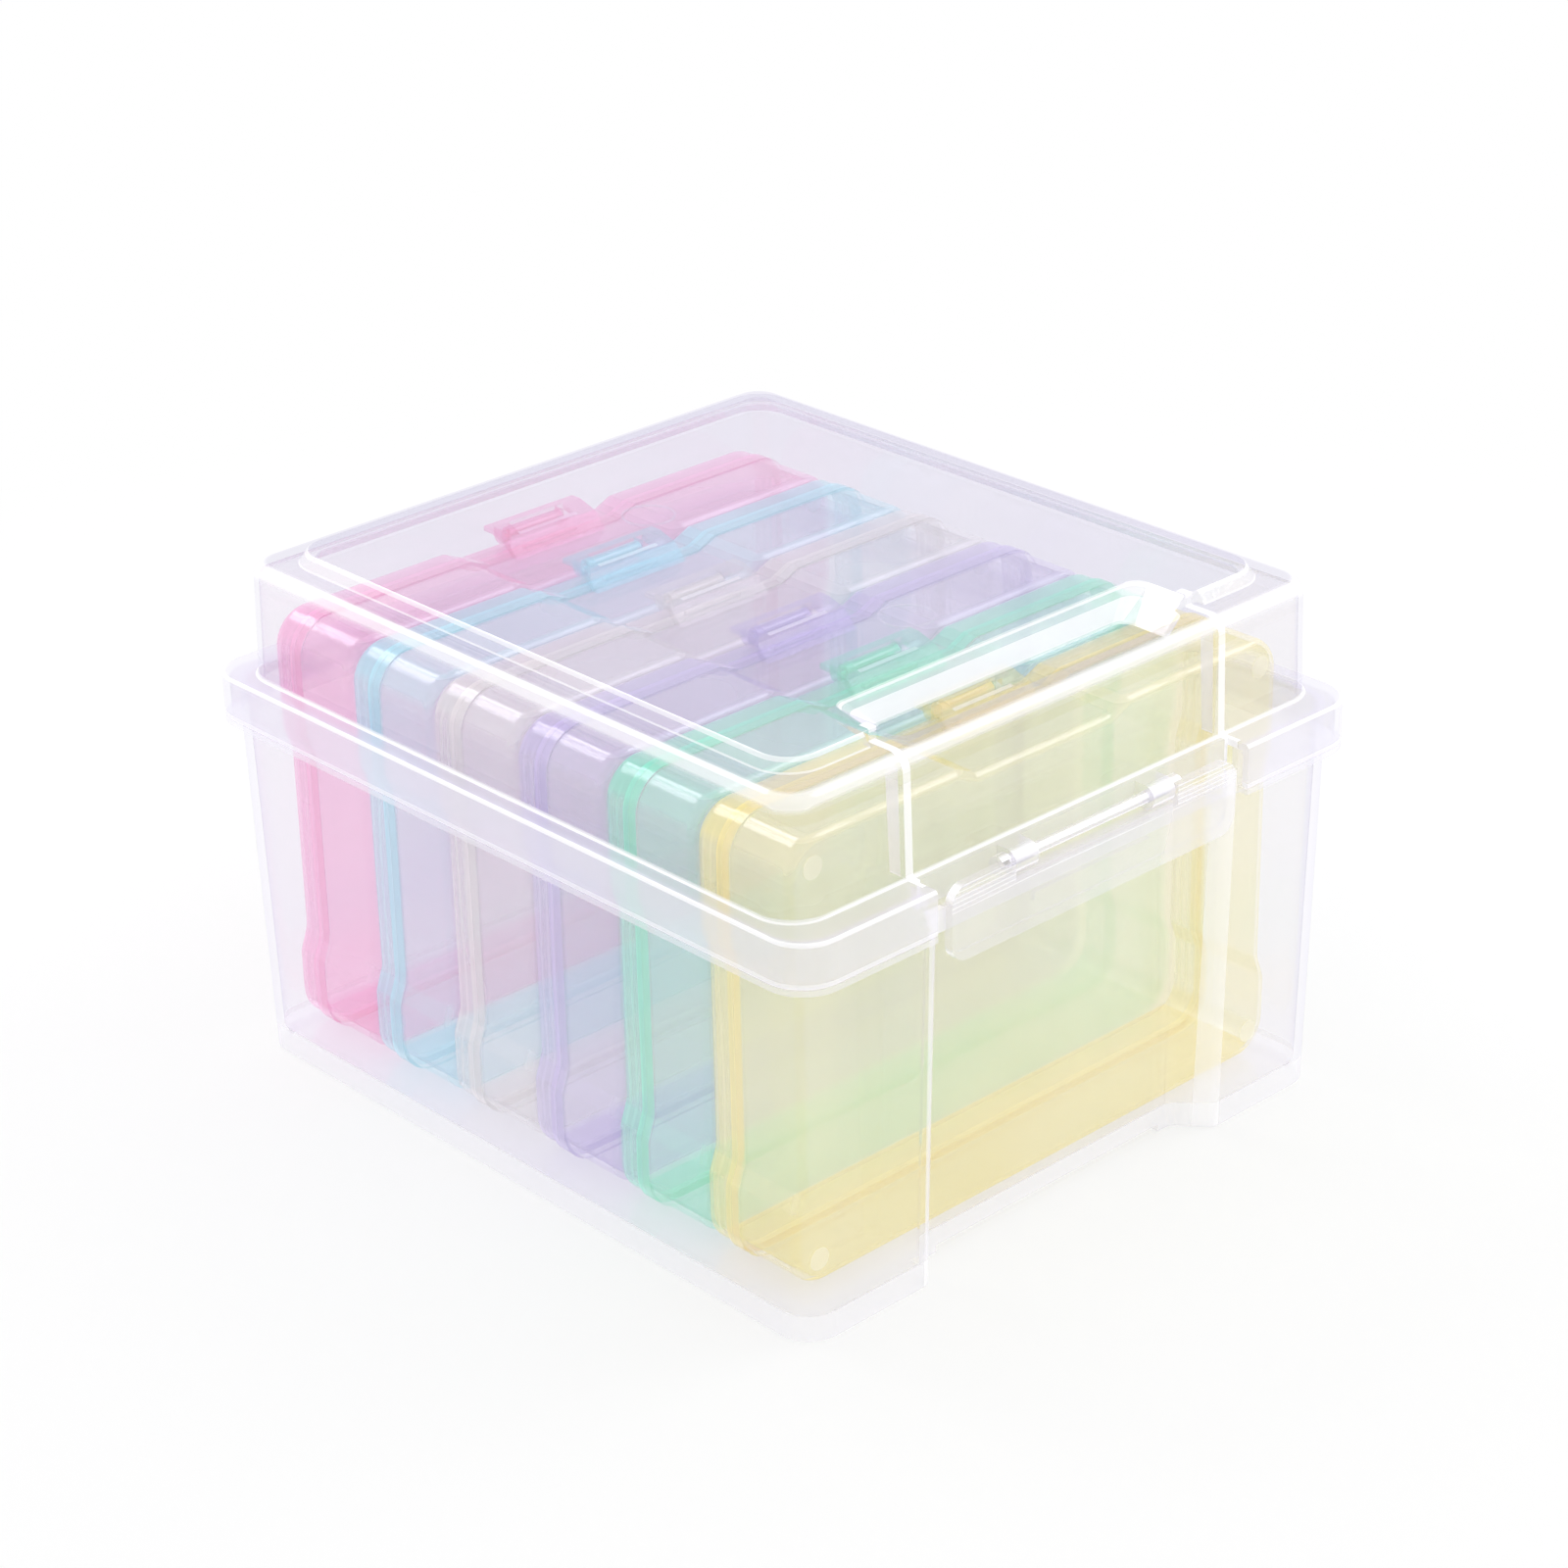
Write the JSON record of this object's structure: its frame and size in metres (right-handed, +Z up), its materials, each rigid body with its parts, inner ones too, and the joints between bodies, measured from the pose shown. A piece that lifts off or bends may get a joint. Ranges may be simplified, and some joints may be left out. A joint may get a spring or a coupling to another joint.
{
  "type": "craft storage box",
  "caption": "Clear lidded storage box with a rear-hinged lid, front latch and slim tinted clasp cases standing upright inside, for sorting craft supplies or prints.",
  "frame": {"origin": "on the table under the middle of the closed box's bounding box, hinges included", "axes": "+X along the latch side, to the right when facing the latch; +Y from the latch to the rear hinges; +Z up"},
  "size_m": [0.192, 0.2274, 0.1422],
  "materials": {
    "clear_box": "clear moulded polypropylene, glossy",
    "yellow_case": "yellow tinted translucent polypropylene, glossy",
    "green_case": "green tinted translucent polypropylene, glossy",
    "purple_case": "purple tinted translucent polypropylene, glossy",
    "clear_case": "clear translucent polypropylene, glossy",
    "blue_case": "blue tinted translucent polypropylene, glossy",
    "pink_case": "pink tinted translucent polypropylene, glossy"
  },
  "bodies": {
    "base": {"box_base": "clear_box"},
    "lid": {"box_lid": "clear_box"},
    "latch": {"front_latch": "clear_box"},
    "yellow_case": {"yellow_rear_shell": "yellow_case", "yellow_front_shell": "yellow_case"},
    "yellow_clasp": {"yellow_clasp": "yellow_case"},
    "green_case": {"green_rear_shell": "green_case", "green_front_shell": "green_case"},
    "green_clasp": {"green_clasp": "green_case"},
    "purple_case": {"purple_rear_shell": "purple_case", "purple_front_shell": "purple_case"},
    "purple_clasp": {"purple_clasp": "purple_case"},
    "clear_case": {"clear_rear_shell": "clear_case", "clear_front_shell": "clear_case"},
    "clear_clasp": {"clear_clasp": "clear_case"},
    "blue_case": {"blue_rear_shell": "blue_case", "blue_front_shell": "blue_case"},
    "blue_clasp": {"blue_clasp": "blue_case"},
    "pink_case": {"pink_rear_shell": "pink_case", "pink_front_shell": "pink_case"},
    "pink_clasp": {"pink_clasp": "pink_case"}
  },
  "joints": [
    {"name": "lid_hinge", "type": "hinge", "parent": "base", "child": "lid", "pos_m": [0, 0.1107, 0.098], "axis": [-1, 0, 0], "range_deg": [0, 110]},
    {"name": "latch_hinge", "type": "hinge", "parent": "lid", "child": "latch", "pos_m": [0, -0.1102, 0.105], "axis": [-1, 0, 0], "range_deg": [0, 100]},
    {"name": "yellow_lift", "type": "slide", "parent": "base", "child": "yellow_case", "axis": [0, 0, 1], "range_m": [0, 0.006]},
    {"name": "yellow_clasp_hinge", "type": "hinge", "parent": "yellow_case", "child": "yellow_clasp", "pos_m": [0, -0.0693, 0.1242], "axis": [-1, 0, 0], "range_deg": [0, 90]},
    {"name": "green_lift", "type": "slide", "parent": "base", "child": "green_case", "axis": [0, 0, 1], "range_m": [0, 0.008]},
    {"name": "green_clasp_hinge", "type": "hinge", "parent": "green_case", "child": "green_clasp", "pos_m": [0, -0.0374, 0.1242], "axis": [-1, 0, 0], "range_deg": [0, 90]},
    {"name": "purple_lift", "type": "slide", "parent": "base", "child": "purple_case", "axis": [0, 0, 1], "range_m": [0, 0.008]},
    {"name": "purple_clasp_hinge", "type": "hinge", "parent": "purple_case", "child": "purple_clasp", "pos_m": [0, -0.0055, 0.1242], "axis": [-1, 0, 0], "range_deg": [0, 90]},
    {"name": "clear_lift", "type": "slide", "parent": "base", "child": "clear_case", "axis": [0, 0, 1], "range_m": [0, 0.008]},
    {"name": "clear_clasp_hinge", "type": "hinge", "parent": "clear_case", "child": "clear_clasp", "pos_m": [0, 0.0264, 0.1242], "axis": [-1, 0, 0], "range_deg": [0, 90]},
    {"name": "blue_lift", "type": "slide", "parent": "base", "child": "blue_case", "axis": [0, 0, 1], "range_m": [0, 0.008]},
    {"name": "blue_clasp_hinge", "type": "hinge", "parent": "blue_case", "child": "blue_clasp", "pos_m": [0, 0.0583, 0.1242], "axis": [-1, 0, 0], "range_deg": [0, 90]},
    {"name": "pink_lift", "type": "slide", "parent": "base", "child": "pink_case", "axis": [0, 0, 1], "range_m": [0, 0.006]},
    {"name": "pink_clasp_hinge", "type": "hinge", "parent": "pink_case", "child": "pink_clasp", "pos_m": [0, 0.0902, 0.1242], "axis": [-1, 0, 0], "range_deg": [0, 90]}
  ]
}
